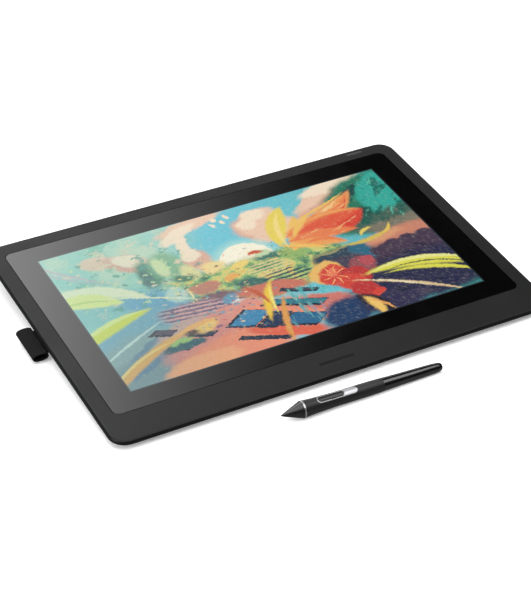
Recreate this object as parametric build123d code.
from build123d import *
from math import atan2, cos, degrees, radians, sin
import os

# Pen drawing tablet with its pen, in millimetres.
#
# Two frames are used. The tablet is drawn in its own frame, whose origin is the middle of the
# casing on the face of the glass: +X right, +Y away from the user, +Z out of the glass. The
# casing is a wedge, so the tablet is then tilted onto its four feet, with the desk at z = 0.
# Feet, legs and leg wells are square to the desk and are drawn straight in the desk frame.

# ---- driving dimensions -------------------------------------------------------------------
BODY_W, BODY_D, BODY_R = 422.0, 285.0, 15.0
RIM_H = 4.0  # height of the upright edge of the casing
EDGE_ROUND = 2.4  # rounding of its top edge
FRONT_DROP, FRONT_FOOT_Y = 10.0, -134.5  # glass face to desk at the front feet
REAR_DROP, REAR_FOOT_Y = 24.5, 118.0  # the same at the rear feet

SCREEN_Y = 8.5  # the screen sits towards the rear, above a wide lower border
SCREEN_W, SCREEN_D = 344.16, 193.59  # lit area
LCD_W, LCD_D = SCREEN_W + 7.8, SCREEN_D + 8.0
SENSOR_W, SENSOR_D = 354.0, 200.0
GLASS_W, GLASS_D, GLASS_R, GLASS_T = 392.6, 237.0, 6.7, 1.6
GLASS_GAP = 0.35
TRAY_W, TRAY_D = 359.5, 210.5

SKIN = 2.0  # front bezel skin
RIM_WALL = 2.4
FLOOR, FLOOR_BEVEL = 1.7, 0.7  # rear cover floor and the bevel around it
LEDGE_BOTTOM = -3.3  # underside of the ledge that carries the glass

FOOT_H = 4.0  # how far the feet stand out of the underside
FOOT_L, FOOT_W, FOOT_X = 47.0, 8.0, 148.75
PLATEAU_INSET_X, PLATEAU_FRONT, PLATEAU_REAR = 21.0, -136.8, 123.0  # square to the desk

LEG_X, LEG_Y = 150.0, 95.0  # middle of a leg and its hinge axis
LEG_W, LEG_T, LEG_REACH = 30.0, 5.6, 73.0
LEG_BARREL_R = 2.9
LEG_BOTTOM = 4.2  # a folded leg lies just inside the underside
PIN_R, RUNNING_GAP = 1.5, 0.05
WELL_TOP, WELL_ROOF, WELL_WALL, WELL_SIDE_GAP = 10.4, 1.4, 1.6, 0.8
SCOOP_L, SCOOP_TOP = 11.5, 9.6

BUTTON_X, BUTTON_W, BUTTON_H, BUTTON_Z = 170.0, 18.0, 1.8, -2.5
BUTTON_OUT = 0.7
LIGHT_X = 152.0

SOCKET_X, SOCKET_WALL_Y, SOCKET_Z = 90.0, 118.0, -11.3
RECESS_W, RECESS_TOP = 26.0, -5.0

LOOP_X, LOOP_Y, LOOP_Z = -216.5, 13.65, -11.0
LOOP_W, LOOP_H, LOOP_L, LOOP_T = 15.0, 8.0, 38.5, 1.1

PEN_X, PEN_Y = -76.0, -167.6  # nib tip on the desk, relative to the tablet
PEN_L, FLARE_X, FLARE_R = 153.6, 19.3, 7.4
TAIL_X, TAIL_R = 147.0, 4.35
PEN_ROLL = 16.0  # the side switch is turned this far towards the user

# ---- worked out from them -----------------------------------------------------------------
TILT = degrees(atan2(REAR_DROP - FRONT_DROP, REAR_FOOT_Y - FRONT_FOOT_Y))
SINE, COSINE = sin(radians(TILT)), cos(radians(TILT))
REST_Z = FRONT_DROP * COSINE - FRONT_FOOT_Y * SINE
TILTED = Pos(0, 0, REST_Z) * Rot(TILT, 0, 0)
FRONT_FOOT_DESK_Y = FRONT_FOOT_Y * COSINE + FRONT_DROP * SINE
REAR_FOOT_DESK_Y = REAR_FOOT_Y * COSINE + REAR_DROP * SINE
HINGE_Z = LEG_BOTTOM + LEG_BARREL_R
OPENING_W, OPENING_D = TRAY_W + 2.5, TRAY_D + 2.5  # hole in the bezel for the screen module

parts = {}


def block(x0, x1, y0, y1, z0, z1):
    """A box between two corners."""
    return Pos((x0 + x1) / 2, (y0 + y1) / 2, (z0 + z1) / 2) * Box(x1 - x0, y1 - y0, z1 - z0)


def slab(width, depth, radius, z0, z1, x=0.0, y=0.0):
    """A plate with rounded corners between two heights."""
    return Pos(x, y, z0) * extrude(RectangleRounded(width, depth, radius), z1 - z0)


def rod(radius, z0, z1, x=0.0, y=0.0):
    """An upright cylinder between two heights."""
    return Pos(x, y, (z0 + z1) / 2) * Cylinder(radius, z1 - z0)


def rod_x(radius, x0, x1, y=0.0, z=0.0):
    """A cylinder along X."""
    return Pos((x0 + x1) / 2, y, z) * Rot(0, 90, 0) * Cylinder(radius, x1 - x0)


def rod_y(radius, y0, y1, x=0.0, z=0.0):
    """A cylinder along Y."""
    return Pos(x, (y0 + y1) / 2, z) * Rot(90, 0, 0) * Cylinder(radius, y1 - y0)


def turned(points):
    """A solid turned about X, from its outline of (x, radius) points."""
    outline = Polyline([(x, radius) for x, radius in points], close=True)
    return revolve(make_face(outline), Axis.X)


def underside(y, above=0.0):
    """Height in the tablet frame of the flat underside, or of a plane above it."""
    return (FOOT_H + above - REST_Z - y * SINE) / COSINE


def keep(name, shape, tilted=True):
    """Store a node, tilted onto the desk when it was drawn in the tablet frame."""
    parts[name] = TILTED * shape if tilted else shape


# ---- casing -------------------------------------------------------------------------------
# Screws run from the underside into bosses of the bezel.
SCREW_SPOTS = [(side * x, y) for side in (-1, 1)
               for x, y in ((62, -117), (184.4, -117), (184.4, 50), (184.4, 106), (62, 118.5))]
BOSS_R, SCREW_R, PILOT_R, HEAD_R, HEAD_H = 3.2, 1.2, 1.25, 2.3, 1.6
HEAD_SEAT = 2.2  # depth of the screw seat inside the underside


def front_bezel():
    shell = slab(BODY_W, BODY_D, BODY_R, -RIM_H, 0)
    shell = fillet(shell.edges().group_by(Axis.Z)[-1], EDGE_ROUND)
    inner_w, inner_d = BODY_W - 2 * RIM_WALL, BODY_D - 2 * RIM_WALL
    shell -= slab(inner_w, inner_d, BODY_R - RIM_WALL, -RIM_H, -SKIN)
    shell += slab(GLASS_W + 3, GLASS_D + 3, GLASS_R + 1.5, LEDGE_BOTTOM, -SKIN, y=SCREEN_Y)
    for x, y in SCREW_SPOTS:
        shell += rod(BOSS_R, -RIM_H, -SKIN, x, y)
    for x in (LIGHT_X + 6, BUTTON_X + 10):
        shell += rod(1.6, -4.6, -SKIN, x, 131)
    gap = 2 * GLASS_GAP
    shell -= slab(GLASS_W + gap, GLASS_D + gap, GLASS_R + GLASS_GAP, -1.9, 1, y=SCREEN_Y)
    shell -= slab(OPENING_W, OPENING_D, 3, -RIM_H, 1, y=SCREEN_Y)
    for x, y in SCREW_SPOTS:
        shell -= rod(PILOT_R, -RIM_H - 1, -2.5, x, y)
    slot = RectangleRounded(BUTTON_W + 0.6, BUTTON_H + 0.6, 1.15)
    shell -= Pos(BUTTON_X, BODY_D / 2 - 4, BUTTON_Z) * Rot(-90, 0, 0) * extrude(slot, 8)
    shell -= rod_y(0.75, 138, 145, LIGHT_X, -2.75)
    return shell


def floor_outline(inset, above):
    """Outline of the flat underside, drawn in by an inset, at a height above it."""
    front, rear = PLATEAU_FRONT + inset, PLATEAU_REAR - inset
    outline = RectangleRounded(BODY_W - 2 * (PLATEAU_INSET_X + inset), rear - front, 9 - inset)
    return (Pos(0, (front + rear) / 2, FOOT_H + above) * outline).face()


def wedge(rim_inset, rim_z, floor_inset, floor_above):
    """The tapering box below the bezel, in the desk frame, from its rim to its flat floor."""
    rim = RectangleRounded(BODY_W - 2 * rim_inset, BODY_D - 2 * rim_inset, BODY_R - rim_inset)
    high = TILTED * Pos(0, 0, rim_z) * rim
    return loft([floor_outline(floor_inset, floor_above), high.face()], ruled=True)


def leg_well(x):
    """Walls and hollow of the pocket that holds one folded leg, in the desk frame."""
    half = LEG_W / 2 + WELL_SIDE_GAP
    rear = LEG_Y + LEG_BARREL_R + 0.5
    tip = LEG_Y - LEG_REACH - 1.5
    walls = block(x - half - WELL_WALL, x + half + WELL_WALL, tip, rear + WELL_WALL,
                  FOOT_H + 0.5, WELL_TOP + WELL_ROOF)
    walls += block(x - half - WELL_WALL, x + half + WELL_WALL, tip - SCOOP_L - WELL_WALL, tip,
                   FOOT_H + 0.5, SCOOP_TOP + WELL_ROOF)
    walls += block(x - half - 3.4, x + half + 3.4, LEG_Y - 5, LEG_Y + 5,
                   FOOT_H + 0.5, WELL_TOP + WELL_ROOF)
    hollow = block(x - half, x + half, tip, rear, 0, WELL_TOP)
    scoop = block(x - half, x + half, tip - SCOOP_L, tip, 0, SCOOP_TOP)
    scoop = fillet(scoop.edges().filter_by(Axis.Z).group_by(Axis.Y)[0], 5)
    return walls, hollow + scoop


def rear_cover():
    shell = wedge(0.3, -RIM_H, 0, FLOOR_BEVEL)
    shell += loft([floor_outline(FLOOR_BEVEL, 0), floor_outline(0, FLOOR_BEVEL)], ruled=True)
    shell -= wedge(RIM_WALL + 0.2, -1.5, 2.0, FLOOR)
    for x in (-LEG_X, LEG_X):
        walls, hollow = leg_well(x)
        shell += walls
        shell -= hollow
    # Pocket in the roof of the left well for spare nibs.
    shell += block(-165.4, -134.6, 66.6, 85.4, WELL_TOP, 14.4)
    shell -= block(-164, -136, 68, 84, WELL_TOP - 1, 13)
    # Walls of the recess in which the cable plug sits, then the recess itself.
    half = RECESS_W / 2
    deep = block(SOCKET_X - half - 1.6, SOCKET_X + half + 1.6, SOCKET_WALL_Y - 1.6, 150,
                 -40, RECESS_TOP + 1)
    shell += (TILTED * deep) & wedge(0.3, -RIM_H, 0, 0)
    recess = block(SOCKET_X - half, SOCKET_X + half, SOCKET_WALL_Y, 150, -40, RECESS_TOP)
    port = Pos(SOCKET_X, SOCKET_WALL_Y - 4, SOCKET_Z) * Rot(-90, 0, 0)
    recess += port * extrude(RectangleRounded(9.2, 3.5, 1.7), 6)
    shell -= TILTED * recess
    for x, y in SCREW_SPOTS:
        seat = underside(y, HEAD_SEAT)
        shell += TILTED * rod(BOSS_R, seat - 1, -RIM_H, x, y)
        shell -= TILTED * rod(PILOT_R + 0.1, seat - 3, -1, x, y)
        shell -= TILTED * rod(HEAD_R + 0.3, seat - 5, seat, x, y)
    for x in (-LEG_X, LEG_X):
        shell -= rod_x(PIN_R, x - 18.4, x + 18.4, LEG_Y, HINGE_Z)
    slot = block(LOOP_X + 10, LOOP_X + 31, LOOP_Y - 15.1, LOOP_Y + 15.1, -11.9, -9.3)
    return shell - TILTED * slot


def cover_screws():
    screws = Part()
    for x, y in SCREW_SPOTS:
        seat = underside(y, HEAD_SEAT)
        screw = rod(HEAD_R, seat - HEAD_H, seat, x, y) + rod(SCREW_R, seat, -2.6, x, y)
        cross = block(x - 1.3, x + 1.3, y - 0.3, y + 0.3, seat - 3, seat - 0.8)
        cross += block(x - 0.3, x + 0.3, y - 1.3, y + 1.3, seat - 3, seat - 0.8)
        screws += screw - cross
    return screws


def casing():
    keep("front_bezel", front_bezel())
    keep("rear_cover", rear_cover(), tilted=False)
    keep("rear_cover_screws", cover_screws())


# ---- screen stack -------------------------------------------------------------------------
def screen():
    glass = slab(GLASS_W, GLASS_D, GLASS_R, -GLASS_T, 0, y=SCREEN_Y)
    keep("cover_glass", chamfer(glass.edges().group_by(Axis.Z)[-1], 0.25))
    gasket = slab(GLASS_W - 1, GLASS_D - 1, GLASS_R - 0.5, -1.9, -GLASS_T, y=SCREEN_Y)
    keep("glass_gasket", gasket - slab(OPENING_W, OPENING_D, 3, -3, 0, y=SCREEN_Y))
    keep("lcd_panel", slab(LCD_W, LCD_D, 0.8, -2.9, -GLASS_T, y=SCREEN_Y))

    tray = slab(TRAY_W, TRAY_D, 2, -5.4, -2.9, y=SCREEN_Y)
    keep("panel_tray", tray - slab(TRAY_W - 1.4, TRAY_D - 1.4, 1.3, -5.0, -2, y=SCREEN_Y))
    guide_front = SCREEN_Y - TRAY_D / 2 + 3.6
    guide_rear = SCREEN_Y + TRAY_D / 2 - 1.2
    keep("light_guide", block(-177.5, 177.5, guide_front, guide_rear, -5.0, -2.9))
    keep("led_strip", block(-172, 172, guide_front - 2.4, guide_front - 0.5, -5.0, -3.6))
    keep("sensor_board", slab(SENSOR_W, SENSOR_D, 1, -6.0, -5.4, y=SCREEN_Y))
    keep("shield_plate", slab(SENSOR_W, SENSOR_D, 1, -6.4, -6.0, y=SCREEN_Y))

    # Z-shaped clips hold the stack up against the ledge of the bezel.
    clips = Part()
    profile = [(182.3, -3.3), (189.5, -3.3), (189.5, -3.9), (182.9, -3.9), (180.9, -7.0),
               (172, -7.0), (172, -6.4), (180.4, -6.4)]
    for side in (-1, 1):
        outline = make_face(Polyline([(side * x, z) for x, z in profile], close=True))
        for y in (-52, 68):
            clips += Pos(0, y, 0) * extrude(Plane.XZ * outline, amount=7, both=True)
    keep("panel_clips", clips)


# ---- electronics --------------------------------------------------------------------------
BOARD_TOP, BOARD_T = -8.0, 1.6
BOARD_BOTTOM = BOARD_TOP - BOARD_T
BOARD_X0, BOARD_X1, BOARD_Y0, BOARD_Y1 = -30.0, 125.0, 62.0, 112.0
BOARD_CORNERS = [(x, y) for x in (BOARD_X0 + 6, BOARD_X1 - 6)
                 for y in (BOARD_Y0 + 6, BOARD_Y1 - 6)]


def folded_ribbon(x, width, top, rear, front):
    """A flat cable that leaves a layer at the rear, folds behind the tray and runs forward."""
    fold = SCREEN_Y + TRAY_D / 2 + 0.8
    low, thick = BOARD_TOP + 0.6, 0.25
    outline = make_face(Polyline([
        (rear, top), (fold, top), (fold, low), (front, low), (front, low + thick),
        (fold - thick, low + thick), (fold - thick, top - thick), (rear, top - thick)],
        close=True))
    return Pos(x, 0, 0) * extrude(Plane.YZ * outline, amount=width / 2, both=True)


def electronics():
    board = block(BOARD_X0, BOARD_X1, BOARD_Y0, BOARD_Y1, BOARD_BOTTOM, BOARD_TOP)
    standoffs, screws = Part(), Part()
    for x, y in BOARD_CORNERS:
        board -= rod(1.1, BOARD_BOTTOM - 1, BOARD_TOP + 1, x, y)
        standoffs += rod(2.4, BOARD_TOP, -6.4, x, y) - rod(1.05, BOARD_TOP - 1, -6.5, x, y)
        screws += rod(2.1, BOARD_BOTTOM - 1.3, BOARD_BOTTOM, x, y)
        screws += rod(1.0, BOARD_BOTTOM, -6.6, x, y)
    keep("main_board", board)
    keep("board_standoffs", standoffs)
    keep("board_screws", screws)

    chips = Part()
    for x, y, side, height in ((10, 84, 14, 1.4), (44, 90, 9, 1.1), (66, 76, 7, 2.4),
                               (90, 84, 11, 1.2), (108, 78, 6, 2.6)):
        chips += block(x - side / 2, x + side / 2, y - side / 2, y + side / 2,
                       BOARD_BOTTOM - height, BOARD_BOTTOM)
    for x, width in ((30, 54), (-8, 18)):
        chips += block(x - width / 2, x + width / 2, 88, 92, BOARD_TOP, BOARD_TOP + 0.6)
    keep("board_chips", chips)
    keep("lcd_ribbon", folded_ribbon(30, 50, -2.0, SCREEN_Y + LCD_D / 2, 89))
    keep("sensor_ribbon", folded_ribbon(-8, 14, -5.6, SCREEN_Y + SENSOR_D / 2, 89))

    shell = slab(9.0, 3.3, 1.6, 0, 10)
    shell -= slab(8.2, 2.5, 1.2, 1, 11)
    shell += slab(6.4, 0.8, 0.3, 1, 9)
    tail = block(-4.5, 4.5, -1.65, 1.6, -4, 0)
    seated = Pos(SOCKET_X, SOCKET_WALL_Y - 10.2, SOCKET_Z) * Rot(-90, 0, 0)
    keep("cable_socket", seated * (shell + tail))

    keep("button_board", block(146, 184, 127.5, 134.3, -5.6, -4.6))
    switch = block(BUTTON_X - 3, BUTTON_X + 3, 131, 134.2, -4.6, -2.4)
    switch += block(BUTTON_X - 1, BUTTON_X + 1, 134.2, 134.9, -3.4, -2.6)
    keep("button_switch", switch)
    pipe = rod_y(0.7, 133.5, BODY_D / 2, LIGHT_X, -2.75)
    pipe += block(LIGHT_X - 1, LIGHT_X + 1, 131.5, 134, -4.6, -2.2)
    keep("power_light_pipe", pipe)


def power_button():
    face = BODY_D / 2 + BUTTON_OUT
    inside = BODY_D / 2 - RIM_WALL - 0.3
    cap = Pos(BUTTON_X, inside, BUTTON_Z) * Rot(-90, 0, 0)
    cap = cap * extrude(RectangleRounded(BUTTON_W, BUTTON_H, 0.88), face - inside)
    cap = fillet(cap.edges().group_by(Axis.Y)[-1], 0.3)
    cap += block(BUTTON_X - 10.2, BUTTON_X + 10.2, inside - 0.9, inside, -3.7, -2.3)
    cap += block(BUTTON_X - 1.5, BUTTON_X + 1.5, 135.8, inside, -3.5, -2.6)
    keep("power_button", cap)


# ---- underside: feet and fold-out legs ------------------------------------------------------
def feet_and_legs():
    front_mid = FRONT_FOOT_DESK_Y + FOOT_W / 2
    rear_mid = REAR_FOOT_DESK_Y - FOOT_W / 2
    for side, word in ((-1, "left"), (1, "right")):
        for row, y in (("front", front_mid), ("rear", rear_mid)):
            foot = slab(FOOT_L, FOOT_W, 3.4, 0, FOOT_H, side * FOOT_X, y)
            foot = chamfer(foot.edges().group_by(Axis.Z)[0], 0.5)
            keep(f"{row}_foot_{word}", foot, tilted=False)

        x = side * LEG_X
        tip = LEG_Y - LEG_REACH
        split = tip + 8
        outline = slab(LEG_W, LEG_REACH + 4, 3.6, LEG_BOTTOM, LEG_BOTTOM + LEG_T, x,
                       (tip + LEG_Y + 4) / 2)
        outline -= block(x - 20, x + 20, LEG_Y, LEG_Y + 10, 0, 20)
        blade = outline & block(x - 20, x + 20, split, LEG_Y + 1, 0, 20)
        pocket_x = LEG_W / 2 - 2.2
        for y0, y1 in ((split + 2, split + 26), (split + 28, LEG_Y - 6)):
            blade -= block(x - pocket_x, x + pocket_x, y0, y1, LEG_BOTTOM + 2.0, 20)
        blade += rod_x(LEG_BARREL_R, x - LEG_W / 2, x + LEG_W / 2, LEG_Y, HINGE_Z)
        blade -= rod_x(PIN_R + RUNNING_GAP, x - 20, x + 20, LEG_Y, HINGE_Z)
        keep(f"leg_{word}", blade, tilted=False)
        pad = outline & block(x - 20, x + 20, tip - 1, split, 0, 20)
        keep(f"leg_pad_{word}", fillet(pad.edges().group_by(Axis.Y)[0], 0.9), tilted=False)
        keep(f"hinge_pin_{word}", rod_x(PIN_R, x - 18.4, x + 18.4, LEG_Y, HINGE_Z), tilted=False)

        washers = Part()
        for end in (-1, 1):
            wall = x + end * (LEG_W / 2 + WELL_SIDE_GAP)
            ring = rod_x(2.6, min(wall, wall - end * 0.4), max(wall, wall - end * 0.4),
                         LEG_Y, HINGE_Z)
            washers += ring - rod_x(PIN_R, x - 20, x + 20, LEG_Y, HINGE_Z)
        keep(f"leg_washers_{word}", washers, tilted=False)


def spare_nibs():
    nibs = Part()
    for x in (-160, -156, -152):
        nibs += rod_y(0.9, 71.5, 80.5, x, WELL_TOP + 1.2)
    keep("spare_nibs", nibs, tilted=False)
    ring = Pos(-143.5, 76, WELL_TOP + 1.2) * Torus(4.6, 0.8)
    keep("nib_puller", ring, tilted=False)


# ---- fabric pen loop ------------------------------------------------------------------------
def oval_tube(a, b, length):
    """An oval rod along Y, centred on the loop."""
    return Pos(LOOP_X, LOOP_Y, LOOP_Z) * Rot(90, 0, 0) * extrude(Ellipse(a, b), length / 2, both=True)


def pen_loop():
    outside = oval_tube(LOOP_W / 2, LOOP_H / 2, LOOP_L)
    hollow = oval_tube(LOOP_W / 2 - LOOP_T, LOOP_H / 2 - LOOP_T, LOOP_L + 4)
    keep("pen_loop", outside - hollow)
    anchor = block(LOOP_X + 5, LOOP_X + 31.5, LOOP_Y - 15, LOOP_Y + 15, -11.8, -9.4)
    anchor += block(LOOP_X + 29.5, LOOP_X + 31.5, LOOP_Y - 17, LOOP_Y + 17, -11.8, -7.6)
    keep("pen_loop_anchor", anchor - outside)


# ---- pen --------------------------------------------------------------------------------------
# Drawn along +X from the nib tip, with the side switch on +Z, then laid on the desk: it rests
# on its flare and its tail, so the tail lies lower.
PEN_DIP = degrees(atan2(FLARE_R - TAIL_R, TAIL_X - FLARE_X))
PEN_AXIS_Z = FLARE_R / cos(radians(PEN_DIP)) + FLARE_X * sin(radians(PEN_DIP))
LAID = Pos(PEN_X, PEN_Y, PEN_AXIS_Z) * Rot(0, PEN_DIP, 0) * Rot(PEN_ROLL, 0, 0)
CONE_TIP_X, CONE_END, RING_END, GRIP_END = 1.9, 18.6, 20.0, 95.0
SWITCH_X0, SWITCH_X1, SWITCH_W = 32.0, 70.0, 6.6
ROCKER_END = SWITCH_X1 - 12.9
ROCKER_X, ROCKER_Z = (SWITCH_X0 + 1.1 + ROCKER_END) / 2, 5.2
DOME_REACH = 7.0


def pen_skin():
    """The turned outside of grip and barrel."""
    line = Spline((RING_END, 7.3), (24, 7.0), (36, 6.52), (52, 6.12), (84, 6.02),
                  (107, 5.35), (124, 4.95), (TAIL_X, TAIL_R))
    outline = line + Polyline((TAIL_X, TAIL_R), (TAIL_X, 0), (RING_END, 0), (RING_END, 7.3))
    return revolve(make_face(outline), Axis.X)


def switch_slot(x0, x1, width, z0, z1):
    """A long pill seen from above, between two heights."""
    return slab(x1 - x0, width, width / 2 - 0.01, z0, z1, x=(x0 + x1) / 2)


def pen():
    laid = {}
    cone = turned([(CONE_TIP_X, 0), (CONE_TIP_X, 1.3), (CONE_END, FLARE_R - 0.1), (CONE_END, 0)])
    cone -= turned([(CONE_TIP_X + 3, 0), (CONE_TIP_X + 3, 1.2), (CONE_END, 5.9), (CONE_END, 0)])
    laid["pen_cone"] = cone - rod_x(1.25, 0, 8)
    laid["pen_ring"] = rod_x(FLARE_R, CONE_END, RING_END) - rod_x(5.2, CONE_END - 1, RING_END + 1)

    skin = pen_skin()
    core_x = CONE_END - 1.2
    core = turned([(core_x, 0), (core_x, 5.2), (RING_END, 5.2), (GRIP_END, 4.7), (GRIP_END, 0)])
    well = switch_slot(SWITCH_X0, SWITCH_X1, SWITCH_W, 2.6, 12)
    grip = (skin & block(RING_END, GRIP_END, -20, 20, -20, 20)) - core - well
    laid["pen_grip"] = grip
    bore = turned([(core_x, 0), (core_x, 4.2), (GRIP_END, 3.8), (TAIL_X - 4, 3.2),
                   (TAIL_X - 4, 0)])
    barrel = (skin & block(GRIP_END, TAIL_X, -20, 20, -20, 20)) + core
    laid["pen_barrel"] = barrel - bore - well - rod_x(1.15 + RUNNING_GAP, TAIL_X - 6, TAIL_X + 1)

    # The frame of the side switch lies in the slot; its rear end is the raised bright stop.
    rim_top = (skin & switch_slot(SWITCH_X0 + 0.05, SWITCH_X1 - 0.05, SWITCH_W - 0.1, 2.6, 12))
    raised = Pos(0, 0, 0.25) * rim_top
    window = switch_slot(SWITCH_X0 + 0.7, ROCKER_END + 0.4, SWITCH_W - 1.4, 0, 12)
    frame = (raised & block(0, 100, -10, 10, 4.4, 12)) - window
    laid["pen_switch_frame"] = frame - rod_y(0.6 + RUNNING_GAP, -5, 5, ROCKER_X, ROCKER_Z)
    rocker = Pos(0, 0, 0.75) * skin & switch_slot(SWITCH_X0 + 1.1, ROCKER_END,
                                                 SWITCH_W - 2.2, 4.7, 12)
    rocker = fillet(rocker.edges().group_by(Axis.Z)[-1], 0.25)
    rocker += rod_y(0.6, -2.9, 2.9, ROCKER_X, ROCKER_Z)
    laid["pen_switch_dome"] = Part()
    for x in (ROCKER_X - DOME_REACH, ROCKER_X + DOME_REACH):
        rocker += rod(1.0, 2.9, 5.0, x)
        laid["pen_switch_dome"] += rod(1.6, -0.4, 2.4, x)
    laid["pen_switch"] = rocker

    tail = turned([(TAIL_X + 0.4, 0), (TAIL_X + 0.4, 4.15), (TAIL_X + 3, 4.05), (PEN_L, 3.0),
                   (PEN_L, 0)])
    tail = fillet(tail.edges().group_by(Axis.X)[-1], 1.6)
    laid["pen_tail"] = tail + rod_x(1.15, TAIL_X - 12, TAIL_X + 1)

    laid["pen_nib"] = turned([(0, 0), (0, 0.3), (0.3, 0.7), (1.0, 0.95), (24, 0.95), (24, 0)])
    laid["pen_coil"] = rod_x(2.55, 9.5, 17) - rod_x(1.75, 9, 18)
    laid["pressure_sensor"] = rod_x(3.0, 24.4, 30) + rod_x(1.75, 9, 24.4) - rod_x(1.3, 8, 25)
    laid["pen_circuit"] = block(31, 120, -2.6, 2.6, -1.2, -0.4)
    carrier = turned([(21, 0), (21, 3.9), (GRIP_END, 3.6), (121, 3.3), (121, 0)])
    carrier &= block(0, 130, -5, 5, -5, -1.2)
    laid["pen_carrier"] = carrier - rod_x(3.0, 20, 30)
    laid["tail_sensor"] = rod_x(3.3, 126, 131)
    for name, shape in laid.items():
        keep(name, LAID * shape, tilted=False)


casing()
screen()
electronics()
power_button()
feet_and_legs()
spare_nibs()
pen_loop()
pen()

# The origin of the whole set is the middle of its footprint, on the desk.
whole = Compound(children=[Compound(shape.solids()) for shape in parts.values()]).bounding_box()
MIDDLE = Pos(-(whole.min.X + whole.max.X) / 2, -(whole.min.Y + whole.max.Y) / 2, 0)

os.makedirs("parts", exist_ok=True)
for name, shape in parts.items():
    export_step(MIDDLE * shape, f"parts/{name}.step")


def report(label, place):
    at = (MIDDLE * place).position
    print(label, [round(value / 1000, 6) for value in (at.X, at.Y, at.Z)])


print("tilt", round(TILT, 4), "tablet normal", (0, round(-SINE, 6), round(COSINE, 6)),
      "rearward", (0, round(COSINE, 6), round(SINE, 6)))
print("size", whole.size, "pen dip", round(PEN_DIP, 3))
report("tablet origin", TILTED)
for side in (-1, 1):
    report("leg hinge", Pos(side * LEG_X, LEG_Y, HINGE_Z))
report("button", TILTED * Pos(BUTTON_X, BODY_D / 2, BUTTON_Z))
report("socket mouth", TILTED * Pos(SOCKET_X, SOCKET_WALL_Y - 0.2, SOCKET_Z))
report("rocker hinge", LAID * Pos(ROCKER_X, 0, ROCKER_Z))
report("pen nib tip", LAID)
report("loop middle", TILTED * Pos(LOOP_X, LOOP_Y, LOOP_Z))
for name, axis in (("pen axis", (1, 0, 0)), ("rocker axis", (0, 1, 0))):
    tip, base = (LAID * Pos(*axis)).position, LAID.position
    print(name, [round(value, 6) for value in (tip - base)])
